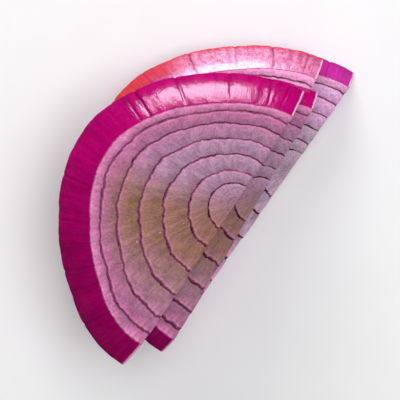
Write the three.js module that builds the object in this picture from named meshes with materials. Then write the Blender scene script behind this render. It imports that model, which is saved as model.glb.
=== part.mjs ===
// Half a red onion, cut crosswise into four half-moon slices that lie in a fanned pile.
// Every slice is a nest of separate curved scales round a small heart.
// Millimetres, +Z up. X runs along the straight cut, and the round side faces +Y.
import * as THREE from 'three';
import { mergeVertices } from 'three/addons/utils/BufferGeometryUtils.js';

// The pile
const sliceThickness = 7.5;
const sliceGap = 0.3;           // air film between two slices
const slices = [                // from the top down: face radius, flare, place and turn
  { name: 'top', faceRadius: 32.5, flare: 7.2, x: 0, y: 0, turn: 0 },
  { name: 'upper', faceRadius: 32.4, flare: 4.7, x: 4.9, y: -5.7, turn: 2.7 },
  { name: 'lower', faceRadius: 33.7, flare: 5.7, x: 10.4, y: -3.0, turn: 2.1 },
  { name: 'bottom', faceRadius: 33.1, flare: 4.5, x: 14.8, y: -10.0, turn: -1.7 },
];

// The scales, counted from the skin inwards. The heart fills what they leave.
const scaleWidths = [2.5, 3.9, 5.0, 5.2, 5.6, 4.2];
const scaleGap = 0.5;           // gap between two scales, measured along a radius
const heartShift = 8.7;         // how far the nest's centre wanders along the cut
const shiftEase = 1.2;          // 1 shifts the scales evenly, more keeps the outer ones in place

// The outline
const squareness = 0.038;       // how far the face's round side leans to a rounded square
const squareEase = 1.4;         // how soon the squareness fades towards the heart
const squareFade = 0.25;        // how much of that is lost on the way down to the underside
const squareTurn = -22;         // degrees
const rimBulge = 0.45;          // how convex the sloping rim is, 0 is a straight cone

// Facets
const facetLength = 3.4;
const facetsPerSegment = 2;     // three.js gives an arc in a shape two for each segment
const fewestSegments = 4;
const facetsUp = 2;
const weldDistance = 1e-4;

const skinScale = { color: 0xb0116e, roughness: 0.25 };
const fleshScale = { color: 0xc48fb4, roughness: 0.4 };
const heartFlesh = { color: 0xd0a0b8, roughness: 0.4 };

const radians = THREE.MathUtils.degToRad;

// The flat plan of a scale, or of the heart where inner is 0, round the middle of the cut.
function halfRing(outer, inner) {
  const plan = new THREE.Shape();
  plan.absarc(0, 0, outer, 0, Math.PI, false);
  if (inner > 0) plan.absarc(0, 0, inner, Math.PI, 0, true);
  return plan;
}

// Gives an upright half ring the onion's form: wider below, squarish and off centre.
function grow(geometry, slice) {
  const place = geometry.attributes.position;
  const point = new THREE.Vector3();
  for (let i = 0; i < place.count; i += 1) {
    point.fromBufferAttribute(place, i);
    const radius = Math.hypot(point.x, point.y);
    const around = Math.atan2(point.y, point.x);
    const down = 1 - point.z / sliceThickness;
    const bulged = down * (1 + rimBulge) - rimBulge * down ** 2;
    const widening = 1 + slice.flare / slice.faceRadius * bulged;
    const outwards = radius / slice.faceRadius;
    const square = squareness * outwards ** squareEase * (1 - squareFade * down);
    const squaring = 1 + square * Math.cos(4 * around - radians(squareTurn));
    const reach = radius * widening * squaring;
    const drift = heartShift * Math.max(0, 1 - outwards) ** shiftEase;
    place.setXY(i, drift + reach * Math.cos(around), reach * Math.sin(around));
  }
}

function makeScale(name, outer, inner, slice, look) {
  const facetsRound = Math.PI * outer / facetLength;
  const geometry = new THREE.ExtrudeGeometry(halfRing(outer, inner), {
    depth: sliceThickness,
    steps: facetsUp,
    curveSegments: Math.max(fewestSegments, Math.round(facetsRound / facetsPerSegment)),
    bevelEnabled: false,
  });
  geometry.deleteAttribute('normal');
  geometry.deleteAttribute('uv');
  const body = mergeVertices(geometry, weldDistance);
  grow(body, slice);
  body.computeVertexNormals();
  const mesh = new THREE.Mesh(body, new THREE.MeshStandardMaterial({ ...look, metalness: 0 }));
  mesh.name = name;
  return mesh;
}

// One slice: its scales from the skin inwards, then its heart.
function makeSlice(slice) {
  const group = new THREE.Group();
  let outer = slice.faceRadius;
  scaleWidths.forEach((width, i) => {
    const inner = outer - width + scaleGap / 2;
    const look = i === 0 ? skinScale : fleshScale;
    const outside = i === 0 ? outer : outer - scaleGap / 2;
    group.add(makeScale(`${slice.name}_slice_scale_${i + 1}`, outside, inner, slice, look));
    outer -= width;
  });
  group.add(makeScale(`${slice.name}_slice_heart`, outer - scaleGap / 2, 0, slice, heartFlesh));
  return group;
}

const pile = new THREE.Group();
slices.forEach((slice, i) => {
  const group = makeSlice(slice);
  const level = slices.length - 1 - i;
  group.position.set(slice.x, slice.y, level * (sliceThickness + sliceGap));
  group.rotation.z = radians(slice.turn);
  pile.add(group);
});

// The origin is the middle of the pile's footprint, on the surface that it lies on.
const box = new THREE.Box3().setFromObject(pile, true);
const middle = box.getCenter(new THREE.Vector3());
pile.position.set(-middle.x, -middle.y, -box.min.z);

const onion = new THREE.Group();
onion.add(pile);
export default onion;
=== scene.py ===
"""Half a red onion, cut crosswise into four half-moon slices that lie in a fanned pile."""
import math

import bpy
import numpy as np
from mathutils import Matrix, Vector


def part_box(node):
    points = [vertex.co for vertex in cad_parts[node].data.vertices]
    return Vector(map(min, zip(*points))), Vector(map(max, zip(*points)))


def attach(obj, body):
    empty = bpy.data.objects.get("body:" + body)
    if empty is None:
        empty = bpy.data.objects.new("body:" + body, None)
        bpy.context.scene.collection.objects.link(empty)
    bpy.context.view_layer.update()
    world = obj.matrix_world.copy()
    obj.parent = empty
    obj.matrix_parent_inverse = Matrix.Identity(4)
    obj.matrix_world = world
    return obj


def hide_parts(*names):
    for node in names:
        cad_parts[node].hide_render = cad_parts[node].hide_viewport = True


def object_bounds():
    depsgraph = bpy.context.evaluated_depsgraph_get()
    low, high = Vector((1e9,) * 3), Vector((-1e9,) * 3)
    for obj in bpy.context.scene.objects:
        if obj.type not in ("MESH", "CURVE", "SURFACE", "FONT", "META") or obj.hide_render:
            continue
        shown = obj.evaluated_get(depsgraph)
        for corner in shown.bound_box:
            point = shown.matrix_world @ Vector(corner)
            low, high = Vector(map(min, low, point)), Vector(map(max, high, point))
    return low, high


bl_info = {
    "name": "Red Onion Slices",
    "version": (1, 0, 0),
    "blender": (4, 5, 0),
    "location": "3D View > Sidebar > Onion",
    "description": "Builds four half-moon slices of a red onion from their separate scales",
    "category": "Add Mesh",
}

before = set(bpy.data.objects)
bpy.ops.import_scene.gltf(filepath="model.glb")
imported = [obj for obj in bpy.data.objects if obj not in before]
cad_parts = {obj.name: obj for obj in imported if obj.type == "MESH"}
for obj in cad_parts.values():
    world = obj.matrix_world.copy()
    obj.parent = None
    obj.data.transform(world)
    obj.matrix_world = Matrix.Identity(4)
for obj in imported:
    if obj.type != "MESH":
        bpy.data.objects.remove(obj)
CAD_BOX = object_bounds()

MM = 0.001
SCALE_WIDTHS = (2.5, 3.9, 5.0, 5.2, 5.6, 4.2)   # mm, from the skin inwards
SCALES = len(SCALE_WIDTHS)
ACROSS_STEP, DOWN_STEP = 0.36 * MM, 0.75 * MM   # mesh steps across a scale and down it
UNEVEN_SKIN = 0.6         # mesh step along the skin, as a share of the step along the other scales
RELIEF_REACH = 0.7 * MM   # how far the relief of a cut face reaches down into the slice
SLIP_REACH = 5 * MM       # how far along a scale its slip at the straight cut reaches
HEART_BOW, HEART_CUT, HEART_FACE, HEART_WALL = 72, 46, 25, 10   # points on each stretch of a heart
FLESH_IOR = 1.36
FLOOR_REACH = 1.6         # half the floor's width, in metres

# From the top of the pile down. Face radius, flare and place in mm, turn in degrees. Warmth reddens
# the skin and paints a pale highlight on it, or turns it violet below 0. Shade paints the cut flesh
# darker and muted as painted shade. The veins are the creases down the skin: the angle of each in
# degrees, and its share of the vein depth.
SLICES = (
    {"name": "top", "radius": 32.5, "flare": 7.2, "place": (0.0, 0.0), "turn": 0.0,
     "warmth": 0.0, "shade": 1.0,
     "veins": ((6, 0.5), (12, 0.4), (28, 0.8), (48, 1.1), (64, 1.5),
               (68, 0.6), (82, 0.4), (104, 0.6), (139, 0.6), (160, 0.5))},
    {"name": "upper", "radius": 32.4, "flare": 4.7, "place": (4.9, -5.7), "turn": 2.7,
     "warmth": 0.1, "shade": 0.92,
     "veins": ((8, 0.8), (23, 0.5), (39, 1.0), (56, 0.6), (78, 0.9),
               (92, 0.5), (111, 0.7), (133, 0.5), (149, 0.9), (168, 0.6))},
    {"name": "lower", "radius": 33.7, "flare": 5.7, "place": (10.4, -3.0), "turn": 2.1,
     "warmth": 1.0, "shade": 0.0,
     "veins": ((6, 0.5), (19, 0.9), (34, 0.6), (52, 1.0), (70, 0.5),
               (84, 0.8), (101, 0.5), (126, 0.9), (144, 0.6), (163, 0.7))},
    {"name": "bottom", "radius": 33.1, "flare": 4.5, "place": (14.8, -10.0), "turn": -1.7,
     "warmth": -0.6, "shade": 0.0,
     "veins": ((11, 0.7), (27, 0.5), (44, 0.9), (59, 0.6), (77, 0.8),
               (98, 0.5), (115, 0.9), (131, 0.6), (152, 0.7), (166, 0.5))},
)


def cad_thickness():
    """Height of one slice, as the frame has it."""
    low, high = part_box("top_slice_scale_1")
    return high.z - low.z


# ---------------------------------------------------------------- settings

class OnionShape(bpy.types.PropertyGroup):
    thickness: bpy.props.FloatProperty(
        name="Slice thickness", description="Height of one slice", default=cad_thickness(),
        min=0.003, max=0.02, unit="LENGTH", subtype="DISTANCE")
    scale_gap: bpy.props.FloatProperty(
        name="Gap between scales", description="Open line between two scales", default=0.16 * MM,
        min=0.02 * MM, max=1 * MM, unit="LENGTH", subtype="DISTANCE")
    heart_shift: bpy.props.FloatProperty(
        name="Heart shift", description="How far the nest's centre wanders along the cut",
        default=8.7 * MM, unit="LENGTH", subtype="DISTANCE")
    shift_ease: bpy.props.FloatProperty(
        name="Shift ease", description="1 shifts the scales evenly, more keeps the outer ones in place",
        default=1.2, min=1, max=3)
    squareness: bpy.props.FloatProperty(
        name="Squareness", description="How far the round side leans to a rounded square",
        default=0.038)
    square_ease: bpy.props.FloatProperty(
        name="Squareness ease", description="How soon the squareness fades towards the heart",
        default=1.4, min=0, max=4)
    square_fade: bpy.props.FloatProperty(
        name="Squareness lost", description="Share of the squareness lost on the way down",
        default=0.25, subtype="FACTOR", min=0, max=1)
    square_turn: bpy.props.FloatProperty(
        name="Squareness turn", description="Turn of the rounded square", default=math.radians(-22),
        unit="ROTATION", subtype="ANGLE")
    rim_bulge: bpy.props.FloatProperty(
        name="Rim bulge", description="How convex the sloping rim is", default=0.45, min=0, max=1)
    rounding: bpy.props.FloatProperty(
        name="Edge rounding", description="Radius of a scale's cut edges", default=0.17 * MM,
        unit="LENGTH", subtype="DISTANCE")
    swell: bpy.props.FloatProperty(
        name="Swell", description="How far the cut flesh stands up between its edges", default=0.09 * MM,
        unit="LENGTH", subtype="DISTANCE")
    wander: bpy.props.FloatProperty(
        name="Wander", description="How far the lines between scales waver", default=0.2 * MM,
        unit="LENGTH", subtype="DISTANCE")
    vein_depth: bpy.props.FloatProperty(
        name="Vein depth", description="Depth of the creases down the skin", default=0.33 * MM,
        unit="LENGTH", subtype="DISTANCE")
    step: bpy.props.FloatProperty(
        name="Mesh step", description="Spacing of the points along a scale", default=0.42 * MM,
        min=0.2 * MM, unit="LENGTH", subtype="DISTANCE")


def colour_property(name, description, default):
    return bpy.props.FloatVectorProperty(
        name=name, description=description, default=default, size=3, min=0, max=1, subtype="COLOR")


class OnionColours(bpy.types.PropertyGroup):
    flesh_rosy: colour_property(
        "Rosy flesh", "Cut flesh of the scales near the skin", (0.46, 0.125, 0.28))
    flesh_lilac: colour_property(
        "Lilac flesh", "Cut flesh of the scales near the heart", (0.41, 0.235, 0.35))
    # Tan flesh is painted shade and warm reflected light on the left of the face, partly the inner
    # flesh's own yellowish tone.
    flesh_tan_shade: colour_property("Tan flesh", "Cut flesh where it turns brownish", (0.285, 0.142, 0.080))
    # Pale and grey flesh are the unshaded colours; where shade is set, the other flesh colours stand for
    # painted shade.
    flesh_pale: colour_property("Pale flesh", "Cut flesh of the unshaded slice", (0.72, 0.39, 0.66))
    flesh_grey: colour_property(
        "Grey flesh", "The unshaded slice's flesh near its heart", (0.55, 0.40, 0.53))
    edge_pink: colour_property("Pink edge", "Line along a scale's outer edge", (0.76, 0.26, 0.50))
    edge_hot: colour_property("Hot edge", "First scale of the reddest slice", (0.84, 0.12, 0.32))
    edge_light: colour_property("Light edge", "The same scale where it is palest", (1.0, 0.40, 0.74))
    edge_dark: colour_property("Dark edge", "Membrane between two scales", (0.17, 0.02, 0.075))
    skin: colour_property("Skin", "The onion's glossy outside", (0.36, 0.0, 0.115))
    skin_red: colour_property("Red skin", "Skin where it turns to red", (0.60, 0.045, 0.055))
    skin_violet: colour_property("Violet skin", "Skin where it turns to violet", (0.40, 0.02, 0.24))
    # Pale skin is a painted highlight: the glare on the warm skin and along the skin's cut edges.
    skin_highlight: colour_property(
        "Pale skin", "Skin that is thin and pale, and its cut edge", (0.86, 0.42, 0.62))


class OnionStudio(bpy.types.PropertyGroup):
    camera_distance: bpy.props.FloatProperty(
        name="Camera distance", description="From the camera to the top face", default=0.6,
        unit="LENGTH", subtype="DISTANCE")
    camera_tilt: bpy.props.FloatProperty(
        name="Camera tilt", description="Lean of the view from straight down, towards the round side",
        default=math.radians(7), unit="ROTATION", subtype="ANGLE")
    camera_roll: bpy.props.FloatProperty(
        name="Camera roll", description="Turn of the view about its own line of sight",
        default=math.radians(56.7), unit="ROTATION", subtype="ANGLE")
    frame_width: bpy.props.FloatProperty(
        name="Framed width", description="Width of the view at the pile", default=0.098,
        unit="LENGTH", subtype="DISTANCE")
    floor: colour_property("Floor", "Pale floor", (0.86, 0.86, 0.87))
    key_power: bpy.props.FloatProperty(
        name="Key light", description="Power of the large light beyond the round side", default=3.6,
        unit="POWER")
    shine_power: bpy.props.FloatProperty(
        name="Shine light", description="Power of the light that only shows as shine", default=5.2,
        unit="POWER")
    fill_power: bpy.props.FloatProperty(
        name="Overhead light", description="Power of the light overhead", default=4.4, unit="POWER")
    sky: bpy.props.FloatProperty(
        name="Room light", description="Strength of the even light of the room", default=0.36)


# ---------------------------------------------------------------- shape of the scales

def ripple(along, seed, longest, shortest, count=6):
    """Smooth irregular wave of about unit height. Lengths are in the units of along."""
    rng = np.random.default_rng(seed)
    total, weight = np.zeros_like(along, dtype=float), 0.0
    for length in np.geomspace(longest, shortest, count):
        share = (length / longest) ** 0.6
        length = length * rng.uniform(0.85, 1.15)
        total += share * np.sin(2 * np.pi * (along / length + rng.uniform()))
        weight += share * share
    return total / math.sqrt(weight)


def smooth(low, high, value):
    """0 below low and 1 above high, with a soft step between them."""
    t = np.clip((value - low) / (high - low), 0, 1)
    return t * t * (3 - 2 * t)


def stations(length, rounding, step):
    """Places along one edge of a block, closer together where its corners are rounded."""
    bend = rounding * (1 - np.tan(np.radians([45, 30, 15])))
    middle = np.linspace(rounding, length - rounding, max(3, round((length - 2 * rounding) / step) + 1))
    return np.concatenate([bend, middle, length - bend[::-1]])


def block_surface(counts):
    """Lattice places on the outside of a block, and its quads side by side: first the two sides that
    face across, then the two that face along, then the top and the underside."""
    grid = np.full(counts, -1)
    i, j, k = np.indices(counts)
    outside = ((i == 0) | (i == counts[0] - 1) | (j == 0) | (j == counts[1] - 1)
               | (k == 0) | (k == counts[2] - 1))
    grid[outside] = np.arange(outside.sum())

    def quads(sheet, flip):
        corners = [sheet[:-1, :-1], sheet[1:, :-1], sheet[1:, 1:], sheet[:-1, 1:]]
        found = np.stack(corners, -1).reshape(-1, 4)
        return found[:, ::-1] if flip else found

    sides = [quads(grid[0], True), quads(grid[-1], False), quads(grid[:, 0], False),
             quads(grid[:, -1], True), quads(grid[:, :, 0], True), quads(grid[:, :, -1], False)]
    return np.argwhere(outside), sides


def round_off(at, size, rounding):
    """Turns a block's sharp edges into round ones."""
    core = np.clip(at, rounding, size - rounding)
    out = at - core
    return core + out * (rounding / np.maximum(np.linalg.norm(out, axis=1, keepdims=True), 1e-9))


class Slice:
    """One slice: knows where every point of its nest of scales lies. Lengths are in metres."""

    def __init__(self, number, shape):
        facts = SLICES[number]
        self.number, self.shape, self.facts = number, shape, facts
        self.name = facts["name"] + "_slice"
        self.radius, self.flare = facts["radius"] * MM, facts["flare"] * MM
        top_low, top_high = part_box("top_slice_scale_1")
        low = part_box(self.name + "_scale_1")[0]
        self.origin = Vector(((top_low.x + top_high.x) / 2 + facts["place"][0] * MM,
                              top_low.y + facts["place"][1] * MM, low.z))
        self.turn = math.radians(facts["turn"])
        self.thickness = shape.thickness
        self.lines = np.cumsum((0.0,) + SCALE_WIDTHS) * MM   # depth of each line under the skin

    def line(self, number, angle):
        """Radius of the line round the outside of a scale, before the slice's flare."""
        along = angle * self.radius
        seed = 1000 * (self.number + 1) + 10 * number
        depth = self.lines[number]
        if number == 0:
            wave = ripple(along, seed, 40 * MM, 9 * MM, 4)
            return self.radius - depth + 0.8 * self.shape.wander * wave
        near = min(1.0, (self.radius - depth) / (15 * MM))
        wave = ripple(along, seed, 22 * MM, 3.5 * MM, 6)
        jag = 0.07 * MM * ripple(along, seed + 1, 3.6 * MM, 1.2 * MM, 4)
        return self.radius - depth + near * self.shape.wander * wave + jag

    def gap(self, number, angle):
        """Width of the open line round the outside of a scale."""
        along = angle * self.radius
        open_up = 1 + 0.8 * ripple(along, 77 + 10 * number + self.number, 24 * MM, 3 * MM, 5)
        return self.shape.scale_gap * np.maximum(open_up, 0.35)

    def settle(self, radius, angle, down):
        """Carries a place in the nest to its place in the slice."""
        shape = self.shape
        bulged = down * (1 + shape.rim_bulge) - shape.rim_bulge * down ** 2
        widening = 1 + self.flare / self.radius * bulged
        outwards = radius / self.radius
        square = shape.squareness * outwards ** shape.square_ease * (1 - shape.square_fade * down)
        reach = radius * widening * (1 + square * np.cos(4 * angle - shape.square_turn))
        drift = shape.heart_shift * np.maximum(0, 1 - outwards) ** shape.shift_ease
        return drift + reach * np.cos(angle), reach * np.sin(angle)

    def to_world(self, x, y, z):
        """Carries places in the slice to their places in the pile."""
        c, s = math.cos(self.turn), math.sin(self.turn)
        return np.stack([self.origin.x + c * x - s * y, self.origin.y + s * x + c * y,
                         self.origin.z + z], -1)

    def painted_tan_share(self, radius, angle):
        """How much tan the flesh takes at a place in the nest, most on the left, between heart and skin:
        painted shade and warm reflected light, partly the inner flesh's own yellowish tone.
        """
        left = -radius * np.cos(angle) / self.radius
        nest = 1 - radius / self.radius
        return smooth(-0.12, 0.22, left) * smooth(0.95, 0.35, left) * smooth(-0.02, 0.28, nest)

    def face_relief(self, number, across, along, width):
        """How far the cut face stands above its flat."""
        rng = np.random.default_rng(500 + 40 * self.number + number)
        t = np.clip(across / width, 0, 1)
        level = rng.uniform(-0.05, 0.05) * MM
        level = level + rng.uniform(-0.04, 0.04) * MM * np.cos(along / self.radius)
        crown = self.shape.swell * (4 * t * (1 - t)) ** 0.8
        roll = 0.035 * MM * ripple(along + 0.6 * across, rng.integers(1 << 30), 16 * MM, 3 * MM, 5)
        lip = 0.012 * MM * np.exp(-((across - 0.35 * MM) / (0.22 * MM)) ** 2)
        return level + crown + roll + lip

    def vein_relief(self, angle, down):
        """Creases from pole to pole: the relief of the skin, and how creased it is at each place."""
        mid_radius = self.radius + self.flare / 2
        along = angle * mid_radius
        rng = np.random.default_rng(900 + self.number)
        relief, crease = np.zeros_like(along), np.zeros_like(along)
        for turn, deep in self.facts["veins"]:
            lean = rng.uniform(-0.7, 0.7) * MM * (down - 0.5)
            wide = rng.uniform(0.26, 0.42) * MM
            off = along - math.radians(turn) * mid_radius - lean
            relief -= deep * self.shape.vein_depth * np.exp(-np.abs(off / wide) ** 1.6)
            crease = np.maximum(crease, deep * np.exp(-(off / (0.24 * MM)) ** 2))
        relief += 0.03 * MM * ripple(along, 930 + self.number, 5.2 * MM, 1.6 * MM, 5)
        return relief, crease


def make_piece(name, points, sides, materials, place, lot, shade, crease, ends):
    """Mesh object from its points and the quads of each material, with the values its materials read:
    place is the way across, along and down a scale in metres. Lot is the depth in the nest (0 at the
    skin, 1 at the centre), the scale's width, and warmth on the skin scale or the share of tan flesh
    (painted shade and reflected light) on the others. Shade paints the flesh darker and muted as painted
    shade, crease is 1 in a crease or fold, and ends is the distance from the straight cut."""
    mesh = bpy.data.meshes.new(name)
    faces = [f for side in sides for f in side]
    mesh.from_pydata(points.tolist(), [], faces)
    mesh.polygons.foreach_set("use_smooth", np.ones(len(faces), dtype=bool))
    for material in materials:
        mesh.materials.append(material)
    mesh.polygons.foreach_set("material_index", np.concatenate(
        [np.full(len(side), number) for number, side in enumerate(sides)]).astype(np.int32))
    for label, values in (("place", place), ("lot", lot)):
        layer = mesh.attributes.new(label, "FLOAT_VECTOR", "POINT")
        layer.data.foreach_set("vector", np.ascontiguousarray(values, dtype=np.float32).ravel())
    shades = np.full(len(points), shade)
    for label, values in (("shade", shades), ("crease", crease), ("ends", ends)):
        layer = mesh.attributes.new(label, "FLOAT", "POINT")
        layer.data.foreach_set("value", np.ascontiguousarray(values, dtype=np.float32))
    mesh.validate()
    mesh.update()
    piece = bpy.data.objects.new(name, mesh)
    bpy.context.scene.collection.objects.link(piece)
    return piece


def build_scale(cut, number, materials):
    """One curved scale, from its outer line to its inner line and from straight cut to straight cut."""
    shape, thickness = cut.shape, cut.thickness
    width = SCALE_WIDTHS[number] * MM - shape.scale_gap
    middle = cut.radius - (cut.lines[number] + cut.lines[number + 1]) / 2
    length = math.pi * middle
    rounding = shape.rounding * (1.0 if number else 1.15)
    size = np.array([width, length, thickness])
    edges = [stations(width, rounding, ACROSS_STEP),
             stations(length, rounding, shape.step * (1 if number else UNEVEN_SKIN)),
             stations(thickness, rounding, DOWN_STEP)]
    lattice, sides = block_surface([len(e) for e in edges])
    raw = np.stack([edges[axis][lattice[:, axis]] for axis in range(3)], -1)
    at = round_off(raw, size, rounding)
    across, along, deep = at.T
    angle, down = along / length * math.pi, deep / thickness

    outer = cut.line(number, angle) - (0.5 * cut.gap(number, angle) if number else 0)
    inner = cut.line(number + 1, angle) + 0.5 * cut.gap(number + 1, angle)
    radius = outer - (outer - inner) * across / width
    x, y = cut.settle(radius, angle, down)

    # the knife's straight cut, with each scale slipped a little past its neighbours
    rng = np.random.default_rng(60 + 20 * cut.number + number)
    slip = rng.uniform(-0.22, 0.12, 2) * MM
    ends = np.exp(-along / SLIP_REACH) * slip[0] + np.exp(-(length - along) / SLIP_REACH) * slip[1]
    puff = shape.swell * 0.8 * np.clip(4 * (across / width) * (1 - across / width), 0, 1)
    near_end = np.exp(-(np.minimum(along, length - along) / (0.5 * MM)) ** 2)
    y = y - ends - puff * near_end

    z = thickness - deep
    face = cut.face_relief(number, across, along * cut.radius / middle, width)
    z = z + face * np.exp(-(deep / RELIEF_REACH) ** 2)
    under = np.exp(-((thickness - deep) / RELIEF_REACH) ** 2)
    lift = cut.face_relief(number + 20, across, along * cut.radius / middle, width)
    z = z + under * (np.abs(lift) * 0.6 if cut.number == len(SLICES) - 1 else -0.5 * lift)

    crease = np.zeros(len(x))
    if number == 0:
        skin = np.exp(-(across / (0.9 * MM)) ** 2)
        soft = np.clip(down * 6, 0.25, 1)
        relief, crease = cut.vein_relief(angle, down)
        relief = relief * skin * soft
        x, y = x + relief * np.cos(angle), y + relief * np.sin(angle)

    points = cut.to_world(x, y, z)
    place = np.stack([raw[:, 0], raw[:, 1] * cut.radius / middle, raw[:, 2]], -1)
    nest = (cut.lines[number] + raw[:, 0]) / cut.radius
    # inner scales carry their share of tan flesh (painted shade and reflected light), the skin scale its
    # warmth
    tone = cut.painted_tan_share(radius, angle) if number else np.full(len(nest), cut.facts["warmth"])
    lot = np.stack([nest, np.full(len(nest), width), tone], -1)
    # the cut sides, the outer wall and the inner wall each have their material
    groups = [np.concatenate(sides[2:]), sides[0], sides[1]]
    return make_piece(f"onion_{cut.name}_scale_{number + 1}", points, groups, materials, place, lot,
                      cut.facts["shade"], crease, np.minimum(raw[:, 1], length - raw[:, 1]))


def build_heart(cut, materials):
    """The half-round heart, with the faint folds of the shoot in its cut faces."""
    shape, thickness = cut.shape, cut.thickness
    size = cut.radius - cut.lines[SCALES]
    rounding = shape.rounding
    core = size - rounding
    tip = math.asin(rounding / core)
    bow = np.linspace(tip, math.pi - tip, HEART_BOW)
    turns = np.linspace(0, 1, 7)[1:-1]
    half = math.sqrt(core ** 2 - rounding ** 2)
    flat = np.linspace(-half, half, HEART_CUT)
    bottom = 1.5 * math.pi

    def corner(x, start, stop):
        """Outline round one end of the straight cut."""
        return [(x, rounding, math.cos(start + (stop - start) * t), math.sin(start + (stop - start) * t))
                for t in turns]

    # each place on the outline, and the way that its rounded edge faces
    outline = [(core * math.cos(a), core * math.sin(a), math.cos(a), math.sin(a)) for a in bow]
    outline += corner(flat[0], math.pi - tip, bottom)
    outline += [(f, rounding, 0.0, -1.0) for f in flat[1:-1]]
    outline += corner(flat[-1], bottom, 2 * math.pi + tip)
    outline = np.array(outline)
    centre = np.array([0.0, size * 0.42])

    # from the middle of the face over the edge and down the wall to the middle of the underside:
    # share of the way to the outline, push beyond it, and depth
    bends = [(rounding * math.sin(a), rounding * (1 - math.cos(a))) for a in np.radians([30, 60, 90])]
    rows = [(f, 0.0, 0.0) for f in np.linspace(0, 1, HEART_FACE + 1)[1:]]
    rows += [(1.0, push, fall) for push, fall in bends]
    wall = np.linspace(rounding, thickness - rounding, HEART_WALL + 1)
    rows += [(1.0, rounding, d) for d in wall[1:]]
    rows += [(1.0, push, thickness - fall) for push, fall in bends[1::-1]]
    rows += [(f, 0.0, thickness) for f in np.linspace(1, 0, HEART_FACE + 1)[:-1]]

    count = len(outline)
    flat_points, depth = [centre], [0.0]
    for share, push, d in rows:
        ring = centre + (outline[:, :2] - centre) * share + outline[:, 2:] * push
        flat_points += list(ring)
        depth += [d] * count
    flat_points.append(centre)
    depth.append(thickness)
    spots, depth = np.array(flat_points), np.array(depth)
    radius = np.hypot(spots[:, 0], spots[:, 1])
    angle = np.arctan2(np.maximum(spots[:, 1], 0), spots[:, 0])
    grown = (cut.line(SCALES, angle) - 0.5 * cut.gap(SCALES, angle)) / size
    x, y = cut.settle(radius * grown, angle, depth / thickness)

    # two faint folds round the shoot
    folds = np.zeros(len(radius))
    for number, (share, drift) in enumerate(((0.66, 0.05), (0.30, -0.10))):
        off = np.hypot(spots[:, 0] - drift * size, spots[:, 1] * 1.12)
        wave = 0.10 * MM * ripple(angle * size, 300 + 7 * cut.number + number, 12 * MM, 2 * MM, 4)
        folds = np.maximum(folds, np.exp(-((off - share * size + wave) / (0.16 * MM)) ** 2))
    swell = shape.swell * 0.7 * np.clip(1 - radius / size, 0, 1)
    roll = ripple(spots[:, 0] + 0.7 * spots[:, 1], 350 + cut.number, 6 * MM, 1.5 * MM, 4)
    relief = swell + 0.03 * MM * roll - 0.09 * MM * folds
    z = thickness - depth + relief * np.exp(-(depth / RELIEF_REACH) ** 2)
    under = np.exp(-((thickness - depth) / RELIEF_REACH) ** 2)
    z = z + under * (np.clip(-relief, 0, 1) if cut.number == len(SLICES) - 1 else -0.4 * relief)

    quads, last = [], len(spots) - 1
    for r in range(len(rows) - 1):
        a, b = 1 + r * count, 1 + (r + 1) * count
        quads += [(a + i, b + i, b + (i + 1) % count, a + (i + 1) % count) for i in range(count)]
    quads += [(0, 1 + i, 1 + (i + 1) % count) for i in range(count)]
    end = 1 + (len(rows) - 1) * count
    quads += [(last, end + (i + 1) % count, end + i) for i in range(count)]
    place = np.stack([size - radius, angle * cut.radius, depth], -1)
    lot = np.stack([1 - radius / cut.radius, np.full(len(radius), size),
                    cut.painted_tan_share(radius, angle)], -1)
    return make_piece(f"onion_{cut.name}_heart", cut.to_world(x, y, z), [quads], materials, place, lot,
                      cut.facts["shade"], folds, spots[:, 1])


# ---------------------------------------------------------------- materials

class Wires:
    """Adds nodes to one node tree and links them."""

    def __init__(self, tree):
        self.tree, self.column = tree, 0

    def add(self, kind, **settings):
        node = self.tree.nodes.new(kind)
        self.column += 1
        node.location = (180 * (self.column % 12), -260 * (self.column // 12))
        for label, value in settings.items():
            setattr(node, label, value)
        return node

    def feed(self, socket, value):
        if isinstance(value, bpy.types.NodeSocket):
            self.tree.links.new(value, socket)
        else:
            socket.default_value = (*value, 1.0) if socket.type == "RGBA" and len(value) == 3 else value

    def math(self, operation, *values, clamp=False):
        node = self.add("ShaderNodeMath", operation=operation, use_clamp=clamp)
        for socket, value in zip(node.inputs, values):
            self.feed(socket, value)
        return node.outputs[0]

    def mix(self, share, one, other, blend="MIX"):
        node = self.add("ShaderNodeMix", data_type="RGBA", blend_type=blend)
        for label, value in ((0, share), (6, one), (7, other)):
            self.feed(node.inputs[label], value)
        return node.outputs[2]

    def spread(self, value, low, high, to_low=0.0, to_high=1.0, smooth_ends=True):
        """Carries the range from low to high over to the range from to_low to to_high."""
        kind = "SMOOTHSTEP" if smooth_ends else "LINEAR"
        node = self.add("ShaderNodeMapRange", interpolation_type=kind)
        for socket, item in zip(node.inputs, (value, low, high, to_low, to_high)):
            self.feed(socket, item)
        return node.outputs[0]

    def read(self, name):
        """One of the values that make_piece leaves on the mesh."""
        return self.add("ShaderNodeAttribute", attribute_name=name)

    def parts(self, vector):
        node = self.add("ShaderNodeSeparateXYZ")
        self.feed(node.inputs[0], vector)
        return node.outputs

    def vector(self, x, y, z):
        node = self.add("ShaderNodeCombineXYZ")
        for socket, value in zip(node.inputs, (x, y, z)):
            self.feed(socket, value)
        return node.outputs[0]

    def noise(self, vector, scale, detail=3.0, roughness=0.55):
        node = self.add("ShaderNodeTexNoise", noise_dimensions="3D")
        self.feed(node.inputs["Vector"], vector)
        for label, value in (("Scale", scale), ("Detail", detail), ("Roughness", roughness)):
            self.feed(node.inputs[label], value)
        return node.outputs[0]

    def group(self, group, **inputs):
        node = self.add("ShaderNodeGroup")
        node.node_tree = group
        for label, value in inputs.items():
            self.feed(node.inputs[label.replace("_", " ").capitalize()], value)
        return node.outputs


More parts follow.
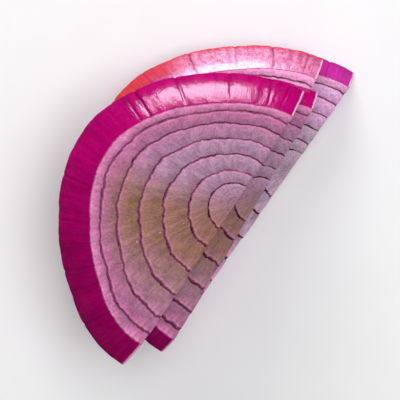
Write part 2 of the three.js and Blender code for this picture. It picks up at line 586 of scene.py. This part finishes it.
def new_group(name, inputs, outputs):
    """Empty node group with named sockets. Gives back its wires, its inputs and its output node."""
    tree = bpy.data.node_groups.new(name, "ShaderNodeTree")
    for label, kind in inputs:
        tree.interface.new_socket(label, in_out="INPUT", socket_type=kind)
    for label, kind in outputs:
        tree.interface.new_socket(label, in_out="OUTPUT", socket_type=kind)
    wires = Wires(tree)
    return wires, wires.add("NodeGroupInput").outputs, wires.add("NodeGroupOutput").inputs


def wet_grain():
    """Fine cells of cut flesh and skin, and the spots where the cut flesh gets painted wet glints."""
    name = "Wet grain"
    if name in bpy.data.node_groups:
        return bpy.data.node_groups[name]
    w, given, out = new_group(
        name, (("Across", "NodeSocketFloat"), ("Along", "NodeSocketFloat"), ("Down", "NodeSocketFloat"),
               ("Cells", "NodeSocketFloat")),
        (("Tone", "NodeSocketFloat"), ("Height", "NodeSocketFloat"), ("Sparkle", "NodeSocketFloat")))
    place = w.vector(given["Across"], given["Along"], given["Down"])
    fine = w.noise(place, given["Cells"], 4.0, 0.72)
    coarse = w.noise(place, w.math("MULTIPLY", given["Cells"], 0.22), 2.0, 0.5)
    tone = w.math("ADD", w.math("MULTIPLY", fine, 0.6), w.math("MULTIPLY", coarse, 0.4))
    w.feed(out["Tone"], tone)
    w.feed(out["Height"], w.math("ADD", w.math("MULTIPLY", fine, 0.7), w.math("MULTIPLY", coarse, 0.6)))
    drops = w.add("ShaderNodeTexVoronoi", feature="F1")
    w.feed(drops.inputs["Vector"], place)
    w.feed(drops.inputs["Scale"], w.math("MULTIPLY", given["Cells"], 0.55))
    chosen = w.spread(w.parts(drops.outputs["Color"])[0], 0.94, 0.96)
    drop = w.spread(drops.outputs["Distance"], 0.08, 0.30, 1.0, 0.0)
    w.feed(out["Sparkle"], w.math("MULTIPLY", drop, chosen))
    return w.tree


def fine_lines():
    """Fine lines that run one way: the fibres in a cut face and the veins from pole to pole."""
    name = "Fine lines"
    if name in bpy.data.node_groups:
        return bpy.data.node_groups[name]
    w, given, out = new_group(
        name, (("Over", "NodeSocketFloat"), ("Lengthwise", "NodeSocketFloat"),
               ("Spacing", "NodeSocketFloat"), ("Waver", "NodeSocketFloat")),
        (("Lines", "NodeSocketFloat"), ("Bands", "NodeSocketFloat")))
    long_way = w.vector(w.math("MULTIPLY", given["Over"], 0.3), given["Lengthwise"], 3.0)
    bend = w.math("SUBTRACT", w.noise(long_way, 400.0, 2.0), 0.5)
    over = w.math("ADD", given["Over"], w.math("MULTIPLY", bend, given["Waver"]))
    fine = w.noise(w.vector(w.math("DIVIDE", over, given["Spacing"]),
                            w.math("MULTIPLY", given["Lengthwise"], 60.0), 0.0), 1.0, 2.0, 0.6)
    wide = w.noise(w.vector(w.math("DIVIDE", over, w.math("MULTIPLY", given["Spacing"], 5.0)),
                            w.math("MULTIPLY", given["Lengthwise"], 40.0), 7.0), 1.0, 2.0, 0.5)
    w.feed(out["Lines"], w.spread(fine, 0.36, 0.64))
    w.feed(out["Bands"], w.spread(wide, 0.3, 0.7))
    return w.tree


def start_material(name):
    """A new material, its wires and its surface shader."""
    material = bpy.data.materials.new(name)
    material.use_nodes = True
    w = Wires(material.node_tree)
    shader = material.node_tree.nodes["Principled BSDF"]
    return material, w, shader


def add_bump(w, shader, height, strength, distance):
    """Fine relief of a surface."""
    bump = w.add("ShaderNodeBump")
    bump.inputs["Strength"].default_value = strength
    bump.inputs["Distance"].default_value = distance
    w.feed(bump.inputs["Height"], height)
    w.feed(shader.inputs["Normal"], bump.outputs[0])


def add_depth(shader, weight, radius, scale):
    """Light that goes in under the surface and comes out beside it."""
    shader.inputs["Subsurface Weight"].default_value = weight
    shader.inputs["Subsurface Radius"].default_value = radius
    shader.inputs["Subsurface Scale"].default_value = scale


def darker(share, colour):
    """The colour brought down to a share of its light."""
    return tuple(share * c for c in colour)


def cut_flesh(name, colours, heart=False):
    """Cut onion flesh: wet, finely grained, pink at a scale's outer edge, dark at its membranes."""
    if name in bpy.data.materials:
        return bpy.data.materials[name]
    material, w, shader = start_material(name)
    across, along, down = w.parts(w.read("place").outputs["Vector"])
    nest, width, tan = w.parts(w.read("lot").outputs["Vector"])
    shade = w.read("shade").outputs["Fac"]
    inside = w.spread(nest, 0.078, 0.085)
    share = w.math("DIVIDE", across, width)

    inward = w.spread(share, 0.0, 0.9, smooth_ends=False)
    colour = w.mix(w.spread(nest, 0.0, 0.46), tuple(colours.flesh_rosy), tuple(colours.flesh_lilac))
    # painted shade and warm reflected light: tan on the left of the inner scales, partly the flesh's own
    # yellowish tone
    colour = w.mix(w.math("MULTIPLY", tan, inside, clamp=True), colour, tuple(colours.flesh_tan_shade))
    # Painted shade per slice: at shade 1 the flesh keeps the darker, muted colours above, at 0 it takes
    # the paler unshaded ones, greyer towards the heart.
    unshaded_flesh = w.mix(w.spread(nest, 0.3, 0.6), tuple(colours.flesh_pale), tuple(colours.flesh_grey))
    colour = w.mix(w.math("SUBTRACT", 1.0, shade), colour, unshaded_flesh)
    colour = w.mix(w.spread(nest, 0.03, 0.085, 0.55, 0.0), colour, tuple(colours.edge_pink))
    # The warm slice's first scale is hot pink, paler and brighter towards the straight cut at one end:
    # partly its own colour, partly painted light lifting the shade under the slices above.
    hot = w.mix(w.spread(along, 10 * MM, 34 * MM), tuple(colours.edge_light), tuple(colours.edge_hot))
    colour = w.mix(w.math("MULTIPLY", tan, w.math("SUBTRACT", 0.9, inside), clamp=True), colour, hot)
    # Painted light and shade across each scale's cut face: lighter along its outer edge, darker towards
    # its inner edge.
    fall = w.spread(inward, 0.0, 1.0, 1.16, 0.86)
    colour = w.mix(1.0, colour, w.vector(fall, fall, fall), "MULTIPLY")

    clouds = w.noise(w.vector(w.math("MULTIPLY", across, 1.6), along, down), 260.0, 3.0, 0.55)
    colour = w.mix(w.spread(clouds, 0.35, 0.75, 0.0, 0.45), colour, darker(0.72, colours.flesh_rosy))
    fibres = w.group(fine_lines(), over=along, lengthwise=across, spacing=0.22 * MM, waver=0.6 * MM)
    grain = w.group(wet_grain(), across=across, along=along, down=down, cells=1300.0)
    fine = w.math("MULTIPLY", w.math("SUBTRACT", fibres["Lines"], 0.5), 0.06)
    wide = w.math("MULTIPLY", w.math("SUBTRACT", fibres["Bands"], 0.5), 0.08)
    tone = w.math("ADD", w.spread(grain["Tone"], 0.36, 0.64, 0.66, 1.27), w.math("ADD", fine, wide))
    colour = w.mix(1.0, colour, w.vector(tone, tone, tone), "MULTIPLY")
    # Painted highlight: small wet glints painted into the flesh colour, in patches.
    wet = w.spread(w.noise(w.vector(across, along, down), 180.0, 2.0), 0.48, 0.66)
    painted_glint = w.math("MULTIPLY", w.math("MULTIPLY", grain["Sparkle"], wet), 0.6)
    colour = w.mix(painted_glint, colour, (0.86, 0.70, 0.80))

    # dark membranes at the edges of the cut face, with a pink line just inside them
    if heart:
        edge = w.spread(across, 0.05 * MM, 0.22 * MM, 0.75, 0.0)
        dark = w.math("MAXIMUM", edge, w.math("MULTIPLY", w.read("crease").outputs["Fac"], 0.15))
        off_line = w.math("ABSOLUTE", w.math("SUBTRACT", across, 0.35 * MM))
        pink = w.spread(off_line, 0.05 * MM, 0.3 * MM, 0.2, 0.0)
    else:
        rest = w.math("SUBTRACT", width, across)
        wobble = w.noise(w.vector(0.0, along, down), 900.0, 4.0, 0.7)
        waver = w.math("MULTIPLY", w.math("SUBTRACT", wobble, 0.5), 0.7 * MM)
        outside = w.math("ADD", across, waver)
        edge = w.spread(outside, 0.05 * MM, 0.33 * MM, 1.0, 0.0)
        far_edge = w.spread(w.math("SUBTRACT", rest, waver), 0.03 * MM, 0.28 * MM, 0.85, 0.0)
        dark = w.math("MAXIMUM", edge, far_edge)
        off_line = w.math("ABSOLUTE", w.math("SUBTRACT", outside, 0.46 * MM))
        pink = w.spread(off_line, 0.08 * MM, 0.34 * MM, 0.22, 0.0)
    colour = w.mix(pink, colour, tuple(colours.edge_pink))
    worn = w.spread(w.noise(w.vector(0.0, along, nest), 420.0, 3.0, 0.65), 0.38, 0.56, 0.65, 1.0)
    colour = w.mix(w.math("MULTIPLY", dark, worn), colour, tuple(colours.edge_dark))
    w.feed(shader.inputs["Base Color"], colour)
    w.feed(shader.inputs["Roughness"], w.spread(grain["Tone"], 0.3, 0.7, 0.36, 0.6))
    shader.inputs["Specular IOR Level"].default_value = 0.3
    shader.inputs["IOR"].default_value = FLESH_IOR
    height = w.math("ADD", grain["Height"], w.math("MULTIPLY", fibres["Lines"], 0.3))
    add_bump(w, shader, height, 0.5, 0.05 * MM)
    add_depth(shader, 0.12, (1.0, 0.45, 0.6), 1.2 * MM)
    return material


def glossy_skin(colours):
    """The onion's outside: magenta, glossy, with veins from pole to pole, red or violet in places."""
    name = "Onion skin"
    if name in bpy.data.materials:
        return bpy.data.materials[name]
    material, w, shader = start_material(name)
    across, along, down = w.parts(w.read("place").outputs["Vector"])
    warmth = w.parts(w.read("lot").outputs["Vector"])[2]
    veins = w.group(fine_lines(), over=along, lengthwise=down, spacing=0.35 * MM, waver=0.8 * MM)
    grain = w.group(wet_grain(), across=across, along=along, down=down, cells=1500.0)
    clouds = w.noise(w.vector(across, along, w.math("MULTIPLY", down, 0.6)), 130.0, 2.0, 0.5)
    worn = w.noise(w.vector(across, along, down), 900.0, 4.0, 0.7)
    deep = w.spread(clouds, 0.3, 0.7, 0.0, 0.35)
    colour = w.mix(deep, tuple(colours.skin), darker(0.62, colours.skin))

    # on a warm skin a pale highlight is painted near the face, with a red patch at the left and a red
    # hem below
    left = w.spread(w.math("ADD", along, w.math("MULTIPLY", clouds, 14 * MM)), 30 * MM, 56 * MM)
    far = w.spread(along, 60 * MM, 84 * MM, 1.0, 0.2)
    hem = w.spread(w.math("ADD", down, w.math("MULTIPLY", worn, 3 * MM)), 6.6 * MM, 8.6 * MM, 0.0, 0.8)
    low = w.spread(w.math("ADD", down, w.math("MULTIPLY", worn, 2 * MM)), 2.6 * MM, 5.2 * MM)
    warm = w.spread(warmth, 0.3, 1.0)
    ragged = w.spread(w.math("ADD", worn, w.math("MULTIPLY", down, 25.0)), 0.44, 0.74, 0.86, 0.3)
    rest = w.math("MULTIPLY", w.math("SUBTRACT", 1.0, left), w.spread(along, 2 * MM, 20 * MM, 0.5, 1.0))
    highlit = w.math("MULTIPLY", ragged, rest)
    colour = w.mix(w.math("MULTIPLY", warm, highlit), colour, tuple(colours.skin_highlight))
    patch = w.math("MULTIPLY", w.math("MULTIPLY", left, far), low)
    red = w.math("MULTIPLY", warm, w.math("MAXIMUM", patch, hem))
    colour = w.mix(red, colour, tuple(colours.skin_red))
    violet = w.spread(w.math("MULTIPLY", warmth, -1.0), 0.0, 0.6)
    colour = w.mix(violet, colour, tuple(colours.skin_violet))

    fine = w.math("MULTIPLY", w.math("SUBTRACT", veins["Lines"], 0.5), 0.16)
    wide = w.math("MULTIPLY", w.math("SUBTRACT", veins["Bands"], 0.5), 0.2)
    tone = w.math("ADD", w.math("ADD", w.spread(grain["Tone"], 0.3, 0.7, 0.86, 1.12), fine), wide)
    colour = w.mix(1.0, colour, w.vector(tone, tone, tone), "MULTIPLY")
    # Painted shade: the skin darkened in its creases.
    crease_shade = w.math("MULTIPLY", w.read("crease").outputs["Fac"], 0.8)
    colour = w.mix(crease_shade, colour, darker(0.5, colours.skin))
    # Painted highlight: the wet glint along the skin's cut edges at the straight cut, painted pale.
    from_cut = w.math("ADD", w.read("ends").outputs["Fac"], w.math("MULTIPLY", worn, 0.5 * MM))
    cut_edge_highlight = w.spread(from_cut, 0.45 * MM, 0.75 * MM, 0.9, 0.0)
    colour = w.mix(cut_edge_highlight, colour, tuple(colours.skin_highlight))
    w.feed(shader.inputs["Base Color"], colour)
    w.feed(shader.inputs["Roughness"], w.spread(grain["Tone"], 0.38, 0.62, 0.12, 0.2))
    shader.inputs["IOR"].default_value = 1.38
    shader.inputs["Specular IOR Level"].default_value = 0.4
    dimples = w.noise(w.vector(across, along, w.math("MULTIPLY", down, 0.7)), 750.0, 3.0, 0.6)
    pits = w.noise(w.vector(across, along, down), 2200.0, 2.0, 0.5)
    height = w.math("ADD", w.math("ADD", dimples, w.math("MULTIPLY", pits, 0.22)),
                    w.math("MULTIPLY", veins["Lines"], 0.05))
    add_bump(w, shader, height, 0.75, 0.12 * MM)
    add_depth(shader, 0.08, (1.0, 0.2, 0.5), 1.0 * MM)
    return material


def scale_wall(name, dark, light):
    """Thin membrane on the walls of a scale that face its neighbours."""
    if name in bpy.data.materials:
        return bpy.data.materials[name]
    material, w, shader = start_material(name)
    across, along, down = w.parts(w.read("place").outputs["Vector"])
    veins = w.group(fine_lines(), over=along, lengthwise=down, spacing=0.4 * MM, waver=0.8 * MM)
    grain = w.group(wet_grain(), across=across, along=along, down=down, cells=1400.0)
    colour = w.mix(w.math("MULTIPLY", veins["Bands"], 0.6), dark, light)
    tone = w.spread(grain["Tone"], 0.3, 0.7, 0.85, 1.15)
    colour = w.mix(1.0, colour, w.vector(tone, tone, tone), "MULTIPLY")
    w.feed(shader.inputs["Base Color"], colour)
    w.feed(shader.inputs["Roughness"], w.spread(veins["Lines"], 0.0, 1.0, 0.3, 0.48))
    shader.inputs["IOR"].default_value = FLESH_IOR
    add_bump(w, shader, veins["Lines"], 0.35, 0.05 * MM)
    return material


def floor_material(colour):
    material, w, shader = start_material("Pale floor")
    speckle = w.noise(w.add("ShaderNodeTexCoord").outputs["Object"], 60.0, 4.0)
    speckled = w.mix(w.spread(speckle, 0.3, 0.7), colour, darker(0.985, colour))
    w.feed(shader.inputs["Base Color"], speckled)
    w.feed(shader.inputs["Roughness"], w.spread(speckle, 0.3, 0.7, 0.75, 0.85))
    shader.inputs["Specular IOR Level"].default_value = 0.1
    return material


# ---------------------------------------------------------------- operators

def walls(colours):
    """The materials of a scale's outer and inner wall."""
    # Partly painted shade: both walls get the dark membrane colour and darkened copies of the pink edge,
    # for the shade in the gaps between scales; an inner wall's own colour is paler.
    dark = tuple(colours.edge_dark)
    return (scale_wall("Outer wall", dark, darker(0.6, colours.edge_pink)),
            scale_wall("Inner wall", dark, darker(0.5, colours.edge_pink)))


class ONION_OT_skin_scales(bpy.types.Operator):
    """Build the outermost scale of every slice, with its glossy skin"""
    bl_idname = "onion.skin_scales"
    bl_label = "Build skin scales"

    def execute(self, context):
        shape, colours = context.scene.onion_shape, context.scene.onion_colours
        materials = [cut_flesh("Cut flesh", colours), glossy_skin(colours), walls(colours)[1]]
        for number in range(len(SLICES)):
            cut = Slice(number, shape)
            piece = build_scale(cut, 0, materials)
            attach(piece, "root")
            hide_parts(f"{cut.name}_scale_1")
        return {"FINISHED"}


class ONION_OT_flesh_scales(bpy.types.Operator):
    """Build the scales between the skin and the heart of every slice"""
    bl_idname = "onion.flesh_scales"
    bl_label = "Build flesh scales"

    def execute(self, context):
        shape, colours = context.scene.onion_shape, context.scene.onion_colours
        materials = [cut_flesh("Cut flesh", colours), *walls(colours)]
        for number in range(len(SLICES)):
            cut = Slice(number, shape)
            for scale in range(1, SCALES):
                piece = build_scale(cut, scale, materials)
                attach(piece, "root")
                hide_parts(f"{cut.name}_scale_{scale + 1}")
        return {"FINISHED"}


class ONION_OT_hearts(bpy.types.Operator):
    """Build the heart of every slice"""
    bl_idname = "onion.hearts"
    bl_label = "Build hearts"

    def execute(self, context):
        shape, colours = context.scene.onion_shape, context.scene.onion_colours
        for number in range(len(SLICES)):
            cut = Slice(number, shape)
            piece = build_heart(cut, [cut_flesh("Heart flesh", colours, heart=True)])
            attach(piece, "root")
            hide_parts(f"{cut.name}_heart")
        return {"FINISHED"}


def add_light(name, place, aim, size, power, colour, spread=True, shine=True):
    """Lamp that lights the surfaces evenly, shines in them, or both."""
    light = bpy.data.lights.new(name, "AREA")
    light.shape, light.size, light.size_y = "RECTANGLE", size[0], size[1]
    light.energy, light.color = power, colour
    lamp = bpy.data.objects.new(name, light)
    lamp.location = place
    lamp.visible_diffuse, lamp.visible_glossy = spread, shine
    lamp.rotation_euler = (Vector(aim) - Vector(place)).to_track_quat("-Z", "Y").to_euler()
    bpy.context.scene.collection.objects.link(lamp)
    return lamp


class ONION_OT_stage(bpy.types.Operator):
    """Set up the pale floor, the studio light and the camera"""
    bl_idname = "onion.stage"
    bl_label = "Set up the stage"

    def execute(self, context):
        scene, studio = context.scene, context.scene.onion_studio
        low, high = CAD_BOX
        floor_mesh = bpy.data.meshes.new("floor")
        corners = ((-1, -1), (1, -1), (1, 1), (-1, 1))
        floor_mesh.from_pydata([(FLOOR_REACH * x, FLOOR_REACH * y, 0) for x, y in corners],
                               [], [(0, 1, 2, 3)])
        floor = bpy.data.objects.new("floor", floor_mesh)
        floor.location.z = low.z - 0.02 * MM
        floor_mesh.materials.append(floor_material(tuple(studio.floor)))
        scene.collection.objects.link(floor)
        floor.visible_glossy = False

        # right and up across the pile as the camera sees it: the straight cut runs up to the right
        roll = studio.camera_roll
        right = Vector((math.cos(roll), -math.sin(roll), 0))
        up = Vector((math.sin(roll), math.cos(roll), 0))
        middle = Vector(((low.x + high.x) / 2, (low.y + high.y) / 2, high.z))
        aim = middle + right * 4.5 * MM - up * 5.8 * MM

        back = Vector((0, math.sin(studio.camera_tilt), math.cos(studio.camera_tilt)))
        camera_data = bpy.data.cameras.new("camera")
        camera_data.sensor_width = 36
        camera_data.lens = 36 * studio.camera_distance / studio.frame_width
        camera = bpy.data.objects.new("camera", camera_data)
        side = (right - back * right.dot(back)).normalized()
        camera.matrix_world = Matrix.Translation(aim + back * studio.camera_distance) @ Matrix(
            (side, back.cross(side), back)).transposed().to_4x4()
        scene.collection.objects.link(camera)
        scene.camera = camera

        # two lamps beyond the round side, one even and one for the shine only, and one overhead
        key = aim + up * 0.6 - right * 0.05 + Vector((0, 0, 0.14))
        add_light("key_light", key, aim, (0.36, 0.2), studio.key_power, (1.0, 0.98, 0.97), shine=False)
        low_down = aim + up * 0.6 - right * 0.02 + Vector((0, 0, 0.065))
        add_light("shine_light", low_down, aim, (0.36, 0.17), studio.shine_power, (0.90, 0.80, 1.0),
                  spread=False)
        overhead = aim + right * 0.15 + up * 0.1 + Vector((0, 0, 0.8))
        add_light("overhead_light", overhead, aim, (0.7, 0.7), studio.fill_power, (1.0, 1.0, 1.0))
        world = bpy.data.worlds.new("room")
        world.use_nodes = True
        world.node_tree.nodes["Background"].inputs["Color"].default_value = (1.0, 1.0, 1.0, 1.0)
        world.node_tree.nodes["Background"].inputs["Strength"].default_value = studio.sky
        world.cycles_visibility.glossy = False
        scene.world = world
        scene.view_settings.view_transform = "Standard"
        return {"FINISHED"}


class ONION_PT_panel(bpy.types.Panel):
    """Settings and steps of the onion"""
    bl_idname = "ONION_PT_panel"
    bl_label = "Red Onion Slices"
    bl_space_type = "VIEW_3D"
    bl_region_type = "UI"
    bl_category = "Onion"

    def draw(self, context):
        scene = context.scene
        for title, settings in (("Shape", scene.onion_shape), ("Colours", scene.onion_colours),
                                ("Studio", scene.onion_studio)):
            box = self.layout.box()
            box.label(text=title)
            for label in settings.bl_rna.properties.keys():
                if label not in {"rna_type", "name"}:
                    box.prop(settings, label)
        for operator in STEPS:
            self.layout.operator(operator.bl_idname)


SETTINGS = (OnionShape, OnionColours, OnionStudio)
STEPS = (ONION_OT_stage, ONION_OT_skin_scales, ONION_OT_flesh_scales, ONION_OT_hearts)


def register():
    for kind in SETTINGS + STEPS + (ONION_PT_panel,):
        bpy.utils.register_class(kind)
    bpy.types.Scene.onion_shape = bpy.props.PointerProperty(type=OnionShape)
    bpy.types.Scene.onion_colours = bpy.props.PointerProperty(type=OnionColours)
    bpy.types.Scene.onion_studio = bpy.props.PointerProperty(type=OnionStudio)


def unregister():
    del bpy.types.Scene.onion_shape, bpy.types.Scene.onion_colours, bpy.types.Scene.onion_studio
    for kind in reversed(SETTINGS + STEPS + (ONION_PT_panel,)):
        bpy.utils.unregister_class(kind)


def main():
    register()
    bpy.ops.onion.stage()
    bpy.ops.onion.skin_scales()
    bpy.ops.onion.flesh_scales()
    bpy.ops.onion.hearts()


if __name__ == "__main__":
    main()
